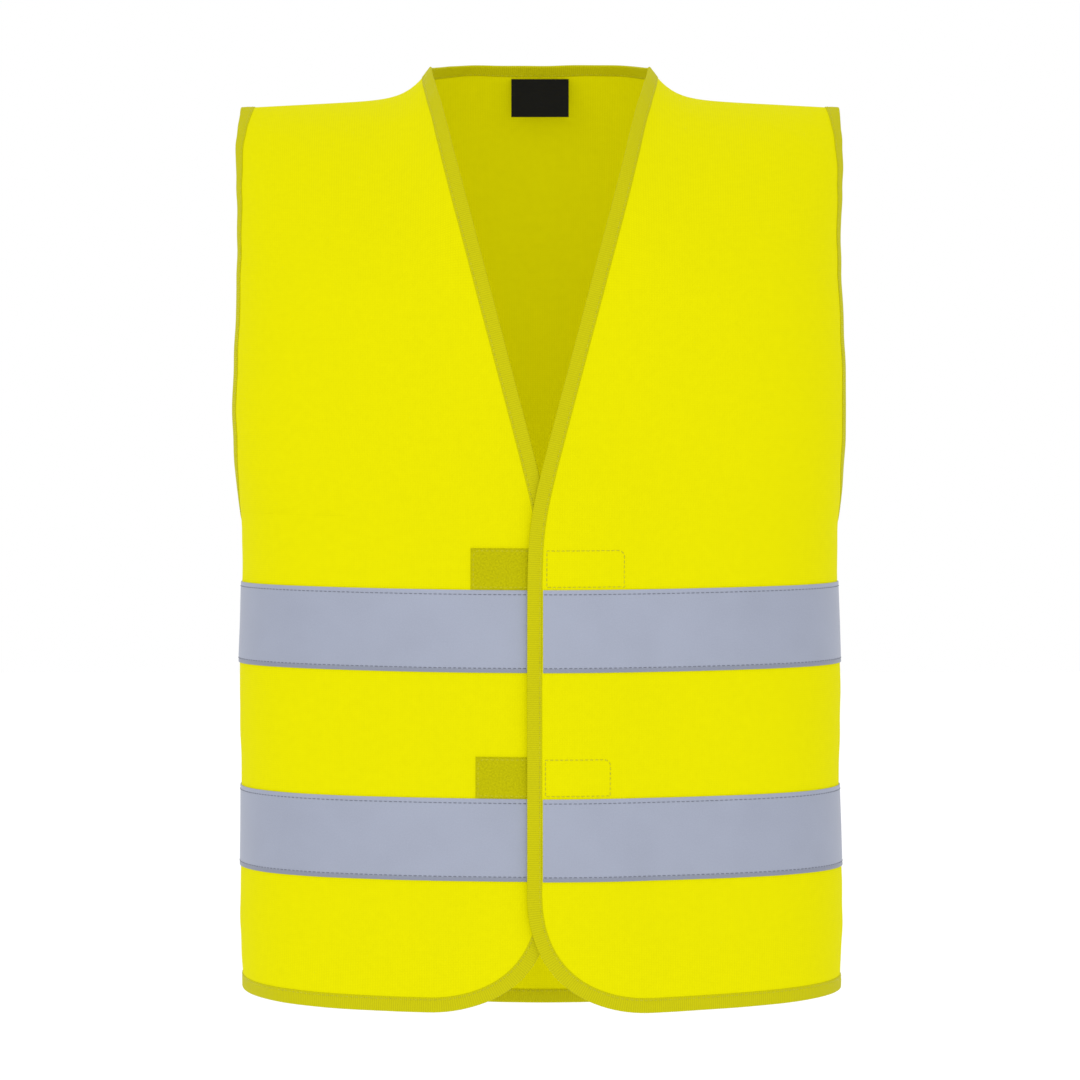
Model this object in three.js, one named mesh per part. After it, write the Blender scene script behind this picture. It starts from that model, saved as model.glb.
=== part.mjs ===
// High-visibility vest in its worn shape: a back panel and two fronts of thin knitted polyester,
// folded binding round every edge, two rows of reflective tape, two hook-and-loop closures and a neck label.
// Millimetres, +Z up. -Y is the front and +X is the wearer's left, so "left" pieces lie at +X.
// Each front folds back along an upright crease, so it is two solids: a fixed side and a flap.
// The group's origin lies midway between the two neck points, where the wearer's shoulders carry the vest.
import * as THREE from "three";

// Body, in plan: half width, depth from the shoulder line to the front and to the back.
const HALF_WIDTH = 186.5;
const FRONT_DEPTH = 122;
const BACK_DEPTH = 118;
const PLAN_POWER = 3; // 2 makes an oval plan, higher a boxier one
const SHOULDER_POWER = 1.75; // the same for the curve from chest to shoulder
const ARMHOLE_FLARE = 5.5; // how much wider the vest stands at the armholes than below them
const FLARE_BELOW = 16; // the flare starts this far below the underarm
const FLARE_RUN = 80;

// Heights above the lowest point of the back hem.
const FRONT_HEM = 16;
const SIDE_HEM = 20;
const SIDE_RISE = 5; // the rows of the cloth ride up this much from the middle to the side seams
const HEM_FADE = 90; // the hem's dip has gone at this height
const UNDERARM = 316;
const FRONT_CHEST = 450; // above this the front leans back to the shoulder
const BACK_CHEST = 470;
const SHOULDER_RUN = 220; // measure of the way from chest to shoulder seam
const SHOULDER_TIP = 576;
const SHOULDER_REACH = 178; // where the shoulder slope is measured from
const SHOULDER_SLOPE = 0.05;
const BACK_NECK = 607;

// Neck opening: the shoulder line rises to it, and the fronts cross below it.
const NECK_HALF_WIDTH = 69;
const NECK_RISE = 50;
const NECK_RISE_AT = 64.8;
const NECK_RISE_SOFT = 9;
const BACK_NECK_POWER = 6;
const CROSSING = 312; // height at which the front edges turn from upright to sloping
const CROSSING_SOFT = 12;

// Fronts.
const OVERLAP = 7; // how far each front reaches past the middle
const CREASE = 74; // where each front folds back
const CORNER_WIDTH = 76; // rounding of the lower front corners
const CORNER_HEIGHT = 88;

// Armholes.
const ARMHOLE_TURN = THREE.MathUtils.degToRad(68);
const ARMHOLE_ROUND = 55;

// Cloth, binding and trims.
const CLOTH = 0.8;
const CLEARANCE = 0.3;
const BINDING_WIDTH = 8.2;
const BINDING_CLOTH = 0.8;
const TAPE_WIDTH = 50;
const TAPE_CLOTH = 0.5;
const LOWER_TAPE = 96;
const TAPE_GAP = 76.5;
const STRIP_WIDTH = 25;
const STRIP_CLOTH = 1.5;
const UPPER_LOOP_END = 42; // distance of each strip's far end from the middle
const LOWER_LOOP_END = 39;
const UPPER_HOOK_END = 52.7;
const LOWER_HOOK_END = 44;
const LABEL_WIDTH = 37;
const LABEL_DROP = 24.5;
const LABEL_CLOTH = 0.6;

const FRONT = -1;
const BACK = 1;
const LEFT = 1;
const RIGHT = -1;
const QUARTER = Math.PI / 2;
const FACE = CLOTH / 2 + CLEARANCE; // from the middle of the cloth to the face of what lies on it
const BINDING_FACE = FACE + BINDING_CLOTH;
const STRIP_FACE = FACE + STRIP_CLOTH;
const LAP = (BINDING_FACE + STRIP_FACE + CLEARANCE) / 2; // each front moves this far aside at the overlap
const LAP_FULL = 25;
const SEAM = CLEARANCE / 2;
const SPOT_PASSES = 5; // steps that find a spot on the surface
const SEAM_MARGIN_TURN = 0.09; // the last column of a panel lies this far inside its seam
const NECK_MARGIN = 25; // the first full column of a front lies this far outside the neck point
const UPPER_TAPE = LOWER_TAPE + TAPE_WIDTH + TAPE_GAP;

const clamp = (value) => Math.min(Math.max(value, 0), 1);
const ease = (value) => clamp(value) ** 2 * (3 - 2 * clamp(value));
const mix = (from, to, share) => from + (to - from) * share;
const steps = (count) => Array.from({ length: count + 1 }, (_, k) => k / count);
const chestOf = (side) => (side === FRONT ? FRONT_CHEST : BACK_CHEST);
const topOf = (side) => chestOf(side) + SHOULDER_RUN;

// The two legs of a rounded quarter, from (0, 1) at angle 0 to (1, 0) at a quarter turn.
function rounded(angle, power) {
  const sine = Math.sin(angle);
  const cosine = Math.cos(angle);
  const reach = (Math.abs(sine) ** power + Math.abs(cosine) ** power) ** (-1 / power);
  return { across: sine * reach, away: cosine * reach };
}

// The angle whose across leg is the given share of a rounded quarter.
function angleFor(share, power) {
  const rest = Math.max(1 - Math.abs(share) ** power, 0) ** (1 / power);
  return Math.atan2(share, rest);
}

function halfWidthAt(climb) {
  return HALF_WIDTH + ARMHOLE_FLARE * ease((climb - UNDERARM + FLARE_BELOW) / FLARE_RUN);
}

function turnAt(x, climb) {
  return angleFor(x / halfWidthAt(climb), PLAN_POWER);
}

// Height of the shoulder seam, which rises at the neck.
function shoulderLine(x) {
  const rise = NECK_RISE / (1 + Math.exp((Math.abs(x) - NECK_RISE_AT) / NECK_RISE_SOFT));
  return SHOULDER_TIP + SHOULDER_SLOPE * (SHOULDER_REACH - Math.abs(x)) + rise;
}

// A spot on the vest is a turn from the middle of the front or back, and a climb from the hem.
function surface(side, { turn, climb }, lap = 0) {
  const { across, away } = rounded(turn, PLAN_POWER);
  const x = across * halfWidthAt(climb);
  const chest = chestOf(side);
  const lean = (Math.max(climb - chest, 0) / SHOULDER_RUN) * QUARTER;
  const shoulder = rounded(lean, SHOULDER_POWER);
  const middleHem = side === FRONT ? FRONT_HEM : 0;
  const hem = mix(middleHem, SIDE_HEM, Math.sin(turn) ** 2) * clamp(1 - climb / HEM_FADE) ** 2;
  const rise = SIDE_RISE * Math.sin(turn) ** 2 * (1 - shoulder.across);
  const z = Math.min(climb, chest) + hem + rise + (shoulderLine(x) - chest) * shoulder.across;
  const depth = side === FRONT ? FRONT_DEPTH : BACK_DEPTH;
  const nearMiddle = ease((CREASE - Math.abs(x)) / (CREASE - LAP_FULL));
  const belowCut = ease((FRONT_CHEST - climb) / (FRONT_CHEST - CROSSING));
  const aside = lap * LAP * nearMiddle * belowCut;
  return new THREE.Vector3(x, side * (away * depth * shoulder.away + aside), z);
}

// Where a spot lies, with the outward normal and the movement per unit of turn and of climb.
function spotFrame(side, spot, lap) {
  const turnStep = 1e-3;
  const climbStep = 0.5;
  const moved = (turn, climb) => surface(side, { turn: spot.turn + turn, climb: spot.climb + climb }, lap);
  const perTurn = moved(turnStep, 0).sub(moved(-turnStep, 0)).divideScalar(2 * turnStep);
  const perClimb = moved(0, climbStep).sub(moved(0, -climbStep)).divideScalar(2 * climbStep);
  const normal = new THREE.Vector3().crossVectors(perTurn, perClimb).multiplyScalar(-side).normalize();
  return { point: surface(side, spot, lap), normal, perTurn, perClimb };
}

function lifted(side, spot, lift, lap) {
  const { point, normal } = spotFrame(side, spot, lap);
  return point.addScaledVector(normal, lift);
}

// The spot whose place on the surface is nearest to a target, found in a few steps from a first spot.
// With "row" set, only the turn changes.
function nearestSpot(side, first, target, { row = false } = {}) {
  const spot = { turn: first.turn, climb: first.climb };
  for (let pass = 0; pass < SPOT_PASSES; pass++) {
    const { point, perTurn, perClimb } = spotFrame(side, spot, 0);
    const away = target.clone().sub(point);
    const byTurn = away.dot(perTurn);
    const turnTurn = perTurn.lengthSq();
    if (row) {
      spot.turn += byTurn / turnTurn;
      continue;
    }
    const byClimb = away.dot(perClimb);
    const turnClimb = perTurn.dot(perClimb);
    const climbClimb = perClimb.lengthSq();
    const scale = turnTurn * climbClimb - turnClimb ** 2;
    spot.turn += (byTurn * climbClimb - byClimb * turnClimb) / scale;
    spot.climb += (byClimb * turnTurn - byTurn * turnClimb) / scale;
  }
  return spot;
}

// The spot a given width inside an edge, square to it, on the side of the edge where "inside" lies.
function insetSpot(side, path, k, width, inside) {
  const ahead = surface(side, path[Math.min(k + 1, path.length - 1)]);
  const along = ahead.sub(surface(side, path[Math.max(k - 1, 0)])).normalize();
  const { point, normal } = spotFrame(side, path[k], 0);
  const inward = new THREE.Vector3().crossVectors(normal, along).normalize();
  if (inward.dot(surface(side, inside).sub(point)) < 0) inward.negate();
  return nearestSpot(side, path[k], point.addScaledVector(inward, width));
}

// The spot a given distance along the row, for the ends of a binding that are cut along a seam.
function rowInset(side, spot, width, direction) {
  const { point, perTurn } = spotFrame(side, spot, 0);
  const target = point.addScaledVector(perTurn.normalize(), direction * width);
  return nearestSpot(side, spot, target, { row: true });
}

// A closed mesh from matching grids of outer and inner points. Cells that "has" refuses are left out.
// Each cell splits along its shorter diagonal, so that sheets lying on each other split alike.
function closedSheet(outer, inner, { has = () => true, ring = false } = {}) {
  const rows = outer.length;
  const columns = outer[0].length;
  const cellRows = ring ? rows : rows - 1;
  const index = (layer, i, j) => (layer * rows + (i % rows)) * columns + j;
  const exists = (i, j) => {
    const row = ring ? (i + rows) % rows : i;
    return row >= 0 && row < cellRows && j >= 0 && j < columns - 1 && has(row, j);
  };
  const faces = [];
  const quad = (a, b, c, d) => faces.push(a, b, c, a, c, d);
  const cell = (turned, a, b, c, d) => (turned ? quad(b, c, d, a) : quad(a, b, c, d));
  const rim = (i, j, k, l) => quad(index(0, i, j), index(1, i, j), index(1, k, l), index(0, k, l));
  const span = (i, j, k, l) => outer[i % rows][j].distanceTo(outer[k % rows][l]);
  for (let i = 0; i < cellRows; i++) {
    for (let j = 0; j < columns - 1; j++) {
      if (!exists(i, j)) continue;
      const turned = span(i, j + 1, i + 1, j) < span(i, j, i + 1, j + 1);
      cell(turned, index(0, i, j), index(0, i, j + 1), index(0, i + 1, j + 1), index(0, i + 1, j));
      cell(turned, index(1, i, j), index(1, i + 1, j), index(1, i + 1, j + 1), index(1, i, j + 1));
      if (!exists(i - 1, j)) rim(i, j, i, j + 1);
      if (!exists(i + 1, j)) rim(i + 1, j + 1, i + 1, j);
      if (!exists(i, j - 1)) rim(i + 1, j, i, j);
      if (!exists(i, j + 1)) rim(i, j + 1, i + 1, j + 1);
    }
  }
  const points = [...outer.flat(), ...inner.flat()];
  return solidGeometry(points, faces);
}

// Keeps the points that the faces use, and turns the faces outwards.
function solidGeometry(points, faces) {
  let volume = 0;
  const edge = new THREE.Vector3();
  for (let f = 0; f < faces.length; f += 3) {
    const [a, b, c] = [points[faces[f]], points[faces[f + 1]], points[faces[f + 2]]];
    volume += edge.crossVectors(b, c).dot(a);
  }
  if (volume < 0) faces.reverse();
  const used = [...new Set(faces)];
  const place = new Map(used.map((point, k) => [point, k]));
  const geometry = new THREE.BufferGeometry();
  geometry.setAttribute(
    "position",
    new THREE.Float32BufferAttribute(used.flatMap((k) => points[k].toArray()), 3),
  );
  geometry.setIndex(faces.map((k) => place.get(k)));
  geometry.computeVertexNormals();
  return geometry;
}

// A sheet that follows the vest's surface between two distances from the middle of the cloth.
function layer(side, grid, low, high, { lap = 0, has } = {}) {
  const at = (lift) => grid.map((row) => row.map((spot) => spot && lifted(side, spot, lift, lap)));
  const fill = (row) => row.map((point) => point || new THREE.Vector3());
  return closedSheet(at(high).map(fill), at(low).map(fill), { has });
}

// A strip folded round an edge: each station holds its side, the edge's spot and the inner spot.
function foldedBinding(stations, { lap = 0, ring = false } = {}) {
  const fold = CLEARANCE + BINDING_CLOTH;
  const section = ({ side, edge, inner }, face, beyond) => {
    const { point, normal } = spotFrame(side, edge, lap);
    const outward = point.clone().sub(surface(side, inner, lap)).normalize();
    const corner = (sign) => point.clone().addScaledVector(outward, beyond).addScaledVector(normal, sign * face);
    return [lifted(side, inner, face, lap), corner(1), corner(-1), lifted(side, inner, -face, lap)];
  };
  const outer = stations.map((station) => section(station, BINDING_FACE, fold));
  const inner = stations.map((station) => section(station, FACE, CLEARANCE));
  return closedSheet(outer, inner, { ring });
}

// The front's free edge: upright where the fronts overlap, then sloping up to the neck point.
const softly = (value) => CROSSING_SOFT * Math.log1p(Math.exp(value / CROSSING_SOFT));
const NECK_POINT = shoulderLine(NECK_HALF_WIDTH);
const NECK_LEAN = (NECK_HALF_WIDTH + OVERLAP) / softly(NECK_POINT - CROSSING);

function frontEdge(climb) {
  let x = 0;
  for (let pass = 0; pass < 16; pass++) {
    const { z } = surface(FRONT, { turn: turnAt(x, climb), climb: Math.max(climb, HEM_FADE) });
    x = -OVERLAP + NECK_LEAN * softly(z - CROSSING);
  }
  const corner = clamp(1 - climb / CORNER_HEIGHT);
  return x + CORNER_WIDTH * (1 - Math.sqrt(1 - corner ** 2));
}

const frontEdgeTurn = (climb) => turnAt(frontEdge(climb), climb);

function armholeTurn(climb) {
  const below = 1 - clamp((climb - UNDERARM) / ARMHOLE_ROUND);
  return mix(ARMHOLE_TURN, QUARTER, 1 - Math.sqrt(1 - below ** 2));
}

// Heights of the grid rows, from the hem to the underarm, round the armhole's bend and on to the shoulder.
const SEAM_TURN = SEAM / FRONT_DEPTH;
const BODY_ROWS = [0, BINDING_WIDTH, 50, HEM_FADE, 160, 230, UNDERARM - 20];
const BEND_ROWS = steps(6).map((share) => UNDERARM + ARMHOLE_ROUND * (1 - Math.cos(share * QUARTER)));

// The armhole's edge on one panel, from the underarm to the shoulder seam, as spots and inner spots.
function armholeEdge(side, hand, rows) {
  const edge = rows.map((climb) => ({ turn: hand * Math.min(armholeTurn(climb), QUARTER - SEAM_TURN), climb }));
  const inner = edge.map((spot, k) => {
    if (k === edge.length - 1) return rowInset(side, spot, BINDING_WIDTH, -hand);
    if (k === 0) return { turn: spot.turn, climb: spot.climb - BINDING_WIDTH };
    return insetSpot(side, edge, k, BINDING_WIDTH, { turn: 0.6 * spot.turn, climb: spot.climb - 20 });
  });
  return edge.map((spot, k) => ({ side, edge: spot, inner: inner[k] }));
}

// The fixed side of a front: crease to side seam below the cut, neck to armhole above it.
const CUT = FRONT_CHEST;
const TONGUE_COLUMNS = 3;
const SIDE_COLUMNS = 8;

function frontSideParts(hand) {
  const armRows = [...BEND_ROWS, ...steps(3).slice(1, 3).map((share) => mix(UNDERARM + ARMHOLE_ROUND, CUT, share))];
  const neckRows = steps(8).map((share) => mix(CUT + SEAM, topOf(FRONT) - SEAM, share));
  const rows = [...BODY_ROWS, ...armRows, ...neckRows];
  const firstArm = BODY_ROWS.length;
  const firstNeck = rows.length - neckRows.length;
  const armhole = armholeEdge(FRONT, hand, rows.slice(firstArm));
  const neckPath = neckRows.map((climb) => ({ turn: hand * frontEdgeTurn(climb), climb }));
  const neck = neckPath.map((spot, k) => {
    const atEnd = k === 0 || k === neckPath.length - 1;
    const inside = { turn: spot.turn + hand * 0.3, climb: spot.climb };
    const inner = atEnd
      ? rowInset(FRONT, spot, BINDING_WIDTH, hand)
      : insetSpot(FRONT, neckPath, k, BINDING_WIDTH, inside);
    return { side: FRONT, edge: spot, inner };
  });
  const grid = rows.map((climb, i) => {
    const raised = clamp((climb - CUT) / (topOf(FRONT) - CUT));
    const crease = hand * turnAt(mix(CREASE + SEAM, NECK_HALF_WIDTH + NECK_MARGIN, raised), climb);
    const arm = i >= firstArm ? armhole[i - firstArm] : null;
    const seam = hand * (QUARTER - SEAM_TURN);
    const last = arm ? arm.edge : { turn: seam, climb };
    const margin = { turn: seam - hand * SEAM_MARGIN_TURN, climb: climb - (arm ? BINDING_WIDTH : 0) };
    const beforeLast = arm && i > firstArm ? arm.inner : margin;
    const from = { turn: crease, climb };
    const middle = steps(SIDE_COLUMNS - 1).map((share) => ({
      turn: mix(from.turn, beforeLast.turn, share),
      climb: mix(from.climb, beforeLast.climb, share),
    }));
    const tongue = [null, null, null];
    if (i >= firstNeck) {
      const { edge, inner } = neck[i - firstNeck];
      tongue[0] = edge;
      tongue[1] = inner;
      tongue[2] = { turn: mix(inner.turn, crease, 0.5), climb: mix(inner.climb, climb, 0.5) };
    }
    return [...tongue, ...middle, last];
  });
  const has = (i, j) => i >= firstNeck || j >= TONGUE_COLUMNS;
  const hem = grid[0].slice(TONGUE_COLUMNS).map((edge, k) => {
    return { side: FRONT, edge, inner: grid[1][k + TONGUE_COLUMNS] };
  });
  const turns = grid[2].slice(TONGUE_COLUMNS).map((spot) => spot.turn);
  return { grid, has, hem, neck, armhole, turns };
}

// The flap of a front: crease to free edge, hem to cut.
const FLAP_COLUMNS = 8;

function flapTurns(hand, climb, edge) {
  return steps(FLAP_COLUMNS).map((share) => mix(edge, hand * turnAt(CREASE - SEAM, climb), share));
}

function frontFlapParts(hand) {
  const cornerRows = steps(8).map((share) => CORNER_HEIGHT * (1 - Math.cos(share * QUARTER)));
  const edgeRows = [130, 180, 230, 270, 300, CROSSING, 358, 388, 418, CUT - SEAM];
  const rows = [...cornerRows, ...edgeRows];
  const grid = rows.map((climb) => {
    return flapTurns(hand, climb, hand * frontEdgeTurn(climb)).map((turn) => ({ turn, climb }));
  });
  const path = grid.map((row) => row[0]);
  const corner = path[0];
  const creaseSpot = grid[0][FLAP_COLUMNS];
  const hemSpot = (share) => ({ turn: mix(creaseSpot.turn, corner.turn, share), climb: 0 });
  const hem = [hemSpot(0), hemSpot(0.5)].map((edge) => {
    return { side: FRONT, edge, inner: { turn: edge.turn, climb: BINDING_WIDTH } };
  });
  const inside = { turn: hand * turnAt(CREASE / 2, CROSSING / 2), climb: CROSSING / 2 };
  const edge = path.map((spot, k) => {
    let inner = insetSpot(FRONT, path, k, BINDING_WIDTH, { turn: inside.turn, climb: Math.max(spot.climb, 60) });
    if (k === 0) inner = { turn: spot.turn, climb: BINDING_WIDTH };
    if (k === path.length - 1) inner = rowInset(FRONT, spot, BINDING_WIDTH, hand);
    return { side: FRONT, edge: spot, inner };
  });
  return { grid, binding: [...hem, ...edge] };
}

// The back panel: hem to neckline and shoulder seams, side seam and armhole on both hands.
const NECK_COLUMNS = 9;
const OUTER_COLUMNS = 7;
const UPPER_ROWS = 20; // close enough that the curve over the shoulder blades stays smooth

function necklineClimb(turn) {
  const x = Math.min(Math.abs(rounded(turn, PLAN_POWER).across * halfWidthAt(topOf(BACK))), NECK_HALF_WIDTH);
  const height = mix(BACK_NECK, NECK_POINT, (x / NECK_HALF_WIDTH) ** BACK_NECK_POWER);
  const share = (height - BACK_CHEST) / (shoulderLine(x) - BACK_CHEST);
  return Math.min(BACK_CHEST + (angleFor(share, SHOULDER_POWER) / QUARTER) * SHOULDER_RUN, topOf(BACK) - SEAM);
}

function backParts() {
  const top = topOf(BACK) - SEAM;
  const upper = steps(UPPER_ROWS).slice(1).map((share) => mix(UNDERARM + ARMHOLE_ROUND, top - BINDING_WIDTH, share));
  const rows = [...BODY_ROWS, ...BEND_ROWS, ...upper, top];
  const firstArm = BODY_ROWS.length;
  const neckTurn = turnAt(NECK_HALF_WIDTH, topOf(BACK));
  const start = rows[firstArm + BEND_ROWS.length - 1];
  const armholes = [RIGHT, LEFT].map((hand) => armholeEdge(BACK, hand, rows.slice(firstArm)));
  const raise = (turn, climb) => {
    if (climb <= start) return climb;
    return mix(start, necklineClimb(turn), (climb - start) / (top - start));
  };
  const half = (hand, climb, i) => {
    const arm = i >= firstArm ? armholes[hand === LEFT ? 1 : 0][i - firstArm] : null;
    const seam = hand * (QUARTER - SEAM_TURN);
    const last = arm ? arm.edge : { turn: seam, climb };
    const margin = { turn: seam - hand * SEAM_MARGIN_TURN, climb: climb - (arm ? BINDING_WIDTH : 0) };
    const beforeLast = arm && i > firstArm ? arm.inner : margin;
    const beside = rowInset(BACK, { turn: hand * neckTurn, climb: raise(neckTurn, climb) }, BINDING_WIDTH, hand);
    const columns = steps(OUTER_COLUMNS - 1).map((share) => ({
      turn: mix(beside.turn, beforeLast.turn, share),
      climb: mix(beside.climb, beforeLast.climb, share),
    }));
    return [...columns, last];
  };
  const grid = rows.map((climb, i) => {
    const inner = steps(2 * NECK_COLUMNS).map((share) => {
      const turn = neckTurn * Math.sin((2 * share - 1) * QUARTER); // closer together at the neck points
      return { turn, climb: raise(turn, climb) };
    });
    return [...half(RIGHT, climb, i).reverse(), ...inner, ...half(LEFT, climb, i)];
  });
  const firstNeck = OUTER_COLUMNS + 1;
  const lastNeck = firstNeck + 2 * NECK_COLUMNS;
  const topRow = grid[grid.length - 1];
  const neckPath = topRow.slice(firstNeck, lastNeck + 1);
  const neck = neckPath.map((spot, k) => {
    if (k === 0) return { side: BACK, edge: spot, inner: rowInset(BACK, spot, BINDING_WIDTH, RIGHT) };
    if (k === neckPath.length - 1) {
      return { side: BACK, edge: spot, inner: rowInset(BACK, spot, BINDING_WIDTH, LEFT) };
    }
    const inside = { turn: spot.turn, climb: spot.climb - 30 };
    return { side: BACK, edge: spot, inner: insetSpot(BACK, neckPath, k, BINDING_WIDTH, inside) };
  });
  const belowTop = grid[grid.length - 2];
  for (let k = 1; k < neck.length - 1; k++) belowTop[firstNeck + k] = neck[k].inner;
  const between = (a, b) => ({ turn: mix(a.turn, b.turn, 0.5), climb: mix(a.climb, b.climb, 0.5) });
  belowTop[firstNeck] = between(neck[0].inner, neck[1].inner);
  belowTop[lastNeck] = between(neck[neck.length - 1].inner, neck[neck.length - 2].inner);
  const hem = grid[0].map((edge, k) => ({ side: BACK, edge, inner: grid[1][k] }));
  const turns = grid[2].map((spot) => spot.turn);
  return { grid, neck, hem, armholes, turns };
}

// A tape or strip lies flat on the cloth between two heights, on the panel's own columns.
function band(turns, low, high) {
  return [low, high].map((climb) => turns.map((turn) => ({ turn, climb })));
}

const flapBandTurns = (hand, from, to, climb, count) => {
  return steps(count).map((share) => hand * turnAt(mix(from, to, share), climb));
};

const yellow = { color: "#e4e200", roughness: 0.85, metalness: 0 };
const piping = { color: "#cfcb00", roughness: 0.8, metalness: 0 };
const silver = { color: "#a6abbc", roughness: 0.4, metalness: 0.2 };
const loopPile = { color: "#c4c000", roughness: 0.95, metalness: 0 };
const hookTape = { color: "#d8d500", roughness: 0.7, metalness: 0 };
const black = { color: "#0c0c0c", roughness: 0.75, metalness: 0 };

const root = new THREE.Group();
const vest = new THREE.Group();
vest.position.z = -NECK_POINT; // the origin is at the height of the neck points
root.add(vest);

function add(name, geometry, look) {
  const mesh = new THREE.Mesh(geometry, new THREE.MeshStandardMaterial(look));
  mesh.name = name;
  vest.add(mesh);
  return mesh;
}

const back = backParts();
add("back_panel", layer(BACK, back.grid, -CLOTH / 2, CLOTH / 2), yellow);
add("back_neck_binding", foldedBinding(back.neck), piping);
add("back_hem_binding", foldedBinding(back.hem), piping);

const tapes = { lower: LOWER_TAPE, upper: UPPER_TAPE };
for (const [row, low] of Object.entries(tapes)) {
  const grid = band(back.turns, low, low + TAPE_WIDTH);
  add(`back_${row}_tape`, layer(BACK, grid, FACE, FACE + TAPE_CLOTH), silver);
}

for (const [hand, word] of [[LEFT, "left"], [RIGHT, "right"]]) {
  const side = frontSideParts(hand);
  add(`${word}_front_side`, layer(FRONT, side.grid, -CLOTH / 2, CLOTH / 2, { has: side.has }), yellow);
  add(`${word}_neck_binding`, foldedBinding(side.neck), piping);
  add(`${word}_hem_binding`, foldedBinding(side.hem), piping);
  const backArmhole = back.armholes[hand === LEFT ? 1 : 0];
  const round = [...side.armhole, ...[...backArmhole].reverse()];
  add(`${word}_armhole_binding`, foldedBinding(round, { ring: true }), piping);

  const lap = hand === LEFT ? 1 : -1; // the wearer's left front lies on top
  const flap = frontFlapParts(hand);
  add(`${word}_front_flap`, layer(FRONT, flap.grid, -CLOTH / 2, CLOTH / 2, { lap }), yellow);
  add(`${word}_edge_binding`, foldedBinding(flap.binding, { lap }), piping);

  const besideBinding = (climb) => frontEdge(climb) + BINDING_WIDTH + 2 * CLEARANCE;
  for (const [row, low] of Object.entries(tapes)) {
    const high = low + TAPE_WIDTH;
    const sideBand = band(side.turns, low, high);
    add(`${word}_side_${row}_tape`, layer(FRONT, sideBand, FACE, FACE + TAPE_CLOTH), silver);
    const turns = flapBandTurns(hand, besideBinding(high), CREASE - SEAM, low, FLAP_COLUMNS);
    const flapBand = band(turns, low, high);
    add(`${word}_flap_${row}_tape`, layer(FRONT, flapBand, FACE, FACE + TAPE_CLOTH, { lap }), silver);
  }
  const ends = hand === LEFT
    ? { lower: LOWER_HOOK_END, upper: UPPER_HOOK_END }
    : { lower: LOWER_LOOP_END, upper: UPPER_LOOP_END };
  for (const [row, end] of Object.entries(ends)) {
    const low = tapes[row] + TAPE_WIDTH + CLEARANCE;
    const turns = flapBandTurns(hand, besideBinding(low + STRIP_WIDTH), end, low, 5);
    const grid = band(turns, low, low + STRIP_WIDTH);
    if (hand === LEFT) {
      add(`${row}_hook_strip`, layer(FRONT, grid, -STRIP_FACE, -FACE, { lap }), hookTape);
    } else {
      add(`${row}_loop_strip`, layer(FRONT, grid, FACE, STRIP_FACE, { lap }), loopPile);
    }
  }
}

// The label hangs from the inner face of the back, just below the neck binding.
const labelSpot = insetSpot(
  BACK,
  back.neck.map((station) => station.edge),
  NECK_COLUMNS,
  BINDING_WIDTH + 2 * CLEARANCE,
  { turn: 0, climb: UNDERARM },
);
const labelTop = lifted(BACK, labelSpot, -(FACE + LABEL_CLOTH), 0);
const label = add("neck_label", new THREE.BoxGeometry(LABEL_WIDTH, LABEL_CLOTH, LABEL_DROP), black);
label.position.set(labelTop.x, labelTop.y, labelTop.z - LABEL_DROP / 2);

export default root;
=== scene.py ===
"""High-visibility vest: the looks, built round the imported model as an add-on that is run as a script."""

import math

import bmesh
import bpy
import numpy as np
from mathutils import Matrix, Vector


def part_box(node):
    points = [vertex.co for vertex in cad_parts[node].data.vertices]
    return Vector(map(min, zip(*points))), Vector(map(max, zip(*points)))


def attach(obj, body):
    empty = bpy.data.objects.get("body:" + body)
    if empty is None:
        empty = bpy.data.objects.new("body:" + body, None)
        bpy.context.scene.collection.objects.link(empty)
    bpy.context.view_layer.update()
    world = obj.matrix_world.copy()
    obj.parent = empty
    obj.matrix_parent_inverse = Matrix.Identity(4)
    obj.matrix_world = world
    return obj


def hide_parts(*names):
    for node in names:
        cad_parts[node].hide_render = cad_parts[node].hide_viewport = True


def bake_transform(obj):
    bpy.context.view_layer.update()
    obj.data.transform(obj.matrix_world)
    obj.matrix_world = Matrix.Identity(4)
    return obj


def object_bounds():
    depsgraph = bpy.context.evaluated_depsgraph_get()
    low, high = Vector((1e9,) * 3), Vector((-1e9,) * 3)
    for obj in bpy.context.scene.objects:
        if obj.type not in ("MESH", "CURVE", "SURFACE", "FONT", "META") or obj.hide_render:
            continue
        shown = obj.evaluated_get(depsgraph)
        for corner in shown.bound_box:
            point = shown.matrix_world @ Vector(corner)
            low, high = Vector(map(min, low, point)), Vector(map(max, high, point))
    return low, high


bl_info = {
    "name": "High Visibility Vest",
    "version": (1, 0, 0),
    "blender": (4, 5, 0),
    "location": "3D View > Sidebar > Vest",
    "description": "Builds the cloth, bindings, reflective tapes and closures of a safety vest",
    "category": "Object",
}

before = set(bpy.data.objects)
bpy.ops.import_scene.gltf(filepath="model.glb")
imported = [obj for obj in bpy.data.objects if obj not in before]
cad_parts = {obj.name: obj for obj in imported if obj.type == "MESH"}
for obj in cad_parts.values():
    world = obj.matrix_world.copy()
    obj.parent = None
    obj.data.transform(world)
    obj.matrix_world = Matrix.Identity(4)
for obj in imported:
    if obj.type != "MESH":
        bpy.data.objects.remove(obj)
CAD_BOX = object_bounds()

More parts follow.
